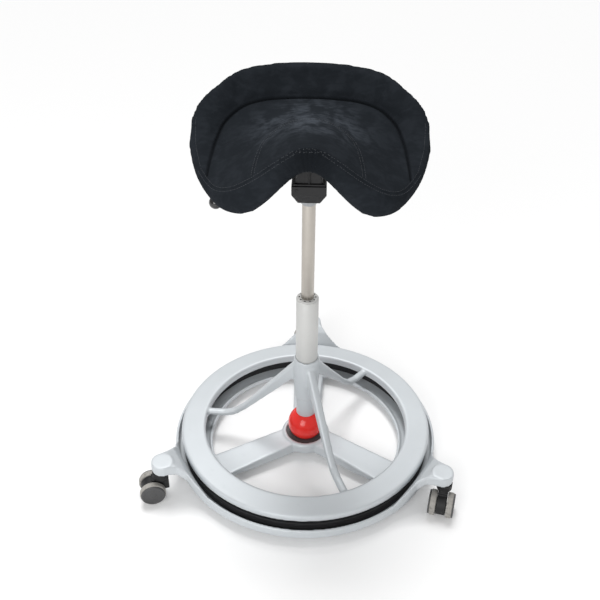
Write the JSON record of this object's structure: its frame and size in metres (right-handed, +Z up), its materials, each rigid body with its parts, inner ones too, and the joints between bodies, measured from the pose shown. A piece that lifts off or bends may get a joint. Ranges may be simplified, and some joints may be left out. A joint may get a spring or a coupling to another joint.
{
  "type": "saddle stool",
  "caption": "Saddle-seat balance stool: padded saddle on a gas-lift column that turns and tilts on a ball joint, with a foot ring on spokes over a castor base ring.",
  "frame": {"origin": "on the floor under the column axis", "axes": "+Z up along the column, -Y towards the saddle's pommel, +X to the right seen from the front of the picture"},
  "size_m": [0.7286, 0.7178, 0.9144],
  "materials": {
    "cast_silver": "smooth silver powder coat",
    "tube_silver": "satin silver paint",
    "steel": "satin drawn steel",
    "ball_red": "glossy moulded red",
    "black_plastic": "fine-grained moulding",
    "black_gloss": "glossy moulding",
    "bush_grey": "moulded bearing plastic",
    "rubber_black": "matt rubber",
    "wheel_grey": "moulded grey",
    "tread_grey": "soft grey tread",
    "suede": "napped dark suede over foam"
  },
  "bodies": {
    "base": {"base_casting": "cast_silver", "socket_liner": "black_plastic", "bumper_ring": "rubber_black", "rear_castor_stem": "steel", "front_left_castor_stem": "steel", "front_right_castor_stem": "steel"},
    "rear_castor": {"rear_castor_body": "black_plastic", "rear_castor_axle": "steel"},
    "rear_castor_left": {"rear_castor_wheel_left": "wheel_grey", "rear_castor_tread_left": "tread_grey"},
    "rear_castor_right": {"rear_castor_wheel_right": "wheel_grey", "rear_castor_tread_right": "tread_grey"},
    "front_left_castor": {"front_left_castor_body": "black_plastic", "front_left_castor_axle": "steel"},
    "front_left_castor_left": {"front_left_castor_wheel_left": "wheel_grey", "front_left_castor_tread_left": "tread_grey"},
    "front_left_castor_right": {"front_left_castor_wheel_right": "wheel_grey", "front_left_castor_tread_right": "tread_grey"},
    "front_right_castor": {"front_right_castor_body": "black_plastic", "front_right_castor_axle": "steel"},
    "front_right_castor_left": {"front_right_castor_wheel_left": "wheel_grey", "front_right_castor_tread_left": "tread_grey"},
    "front_right_castor_right": {"front_right_castor_wheel_right": "wheel_grey", "front_right_castor_tread_right": "tread_grey"},
    "ball": {"red_ball": "ball_red"},
    "ball_stem": {"ball_stem": "steel"},
    "foot_frame": {"stem_sleeve": "tube_silver", "foot_ring": "cast_silver", "column_tube": "tube_silver", "guide_bush": "bush_grey", "bottom_plate": "steel", "thrust_bearing": "steel"},
    "lift_rod": {"piston_rod": "steel", "piston": "steel", "retaining_clip": "steel", "bump_stop": "rubber_black"},
    "seat": {"gas_cylinder": "steel", "rod_seal": "black_plastic", "mechanism_housing": "black_plastic", "taper_cone": "bush_grey", "seat_bracket": "black_plastic", "seat_screws": "steel", "seat_pan": "black_plastic", "seat_cushion": "suede", "lever_pivot_pin": "steel"},
    "lever": {"lever_rod": "steel", "lever_knob": "black_gloss"},
    "release": {"release_pin": "steel"}
  },
  "joints": [
    {"name": "rear_castor_swivel", "type": "hinge", "parent": "base", "child": "rear_castor", "pos_m": [0.00781, 0.37292, 0], "axis": [0, 0, 1], "continuous": true},
    {"name": "rear_castor_left_spin", "type": "hinge", "parent": "rear_castor", "child": "rear_castor_left", "pos_m": [-0.01319, 0.37292, 0.029], "axis": [0, -1, 0], "continuous": true},
    {"name": "rear_castor_right_spin", "type": "hinge", "parent": "rear_castor", "child": "rear_castor_right", "pos_m": [-0.01319, 0.37292, 0.029], "axis": [0, -1, 0], "continuous": true},
    {"name": "front_left_castor_swivel", "type": "hinge", "parent": "base", "child": "front_left_castor", "pos_m": [-0.32686, -0.17969, 0], "axis": [0, 0, 1], "continuous": true},
    {"name": "front_left_castor_left_spin", "type": "hinge", "parent": "front_left_castor", "child": "front_left_castor_left", "pos_m": [-0.34724, -0.18477, 0.029], "axis": [0.2419, -0.9703, 0], "continuous": true},
    {"name": "front_left_castor_right_spin", "type": "hinge", "parent": "front_left_castor", "child": "front_left_castor_right", "pos_m": [-0.34724, -0.18477, 0.029], "axis": [0.2419, -0.9703, 0], "continuous": true},
    {"name": "front_right_castor_swivel", "type": "hinge", "parent": "base", "child": "front_right_castor", "pos_m": [0.31905, -0.19322, 0], "axis": [0, 0, 1], "continuous": true},
    {"name": "front_right_castor_left_spin", "type": "hinge", "parent": "front_right_castor", "child": "front_right_castor_left", "pos_m": [0.31397, -0.2136, 0.029], "axis": [0.9703, -0.2419, 0], "continuous": true},
    {"name": "front_right_castor_right_spin", "type": "hinge", "parent": "front_right_castor", "child": "front_right_castor_right", "pos_m": [0.31397, -0.2136, 0.029], "axis": [0.9703, -0.2419, 0], "continuous": true},
    {"name": "tilt_fore_aft", "type": "hinge", "parent": "base", "child": "ball", "pos_m": [0, 0, 0.069], "axis": [1, 0, 0], "range_deg": [-1.2, 1.2]},
    {"name": "tilt_sideways", "type": "hinge", "parent": "ball", "child": "ball_stem", "pos_m": [0, 0, 0.069], "axis": [0, 1, 0], "range_deg": [-1.2, 1.2]},
    {"name": "column_turn", "type": "hinge", "parent": "ball_stem", "child": "foot_frame", "pos_m": [0, 0, 0.136], "axis": [0, 0, 1], "continuous": true},
    {"name": "seat_turn", "type": "hinge", "parent": "foot_frame", "child": "lift_rod", "pos_m": [0, 0, 0.186], "axis": [0, 0, 1], "continuous": true},
    {"name": "seat_height", "type": "slide", "parent": "lift_rod", "child": "seat", "axis": [0, 0, 1], "range_m": [-0.19, 0]},
    {"name": "height_lever", "type": "hinge", "parent": "seat", "child": "lever", "pos_m": [-0.024, 0.03, 0.724], "axis": [0, 1, 0], "range_deg": [0, 8], "stiffness_Nm_per_rad": 1.5, "springref_deg": -8.59},
    {"name": "release_press", "type": "slide", "parent": "seat", "child": "release", "axis": [0, 0, -1], "range_m": [0, 0.0036]}
  ],
  "couplings": [
    {"joint": "release_press", "follows": "height_lever", "m_per_rad": 0.024}
  ]
}
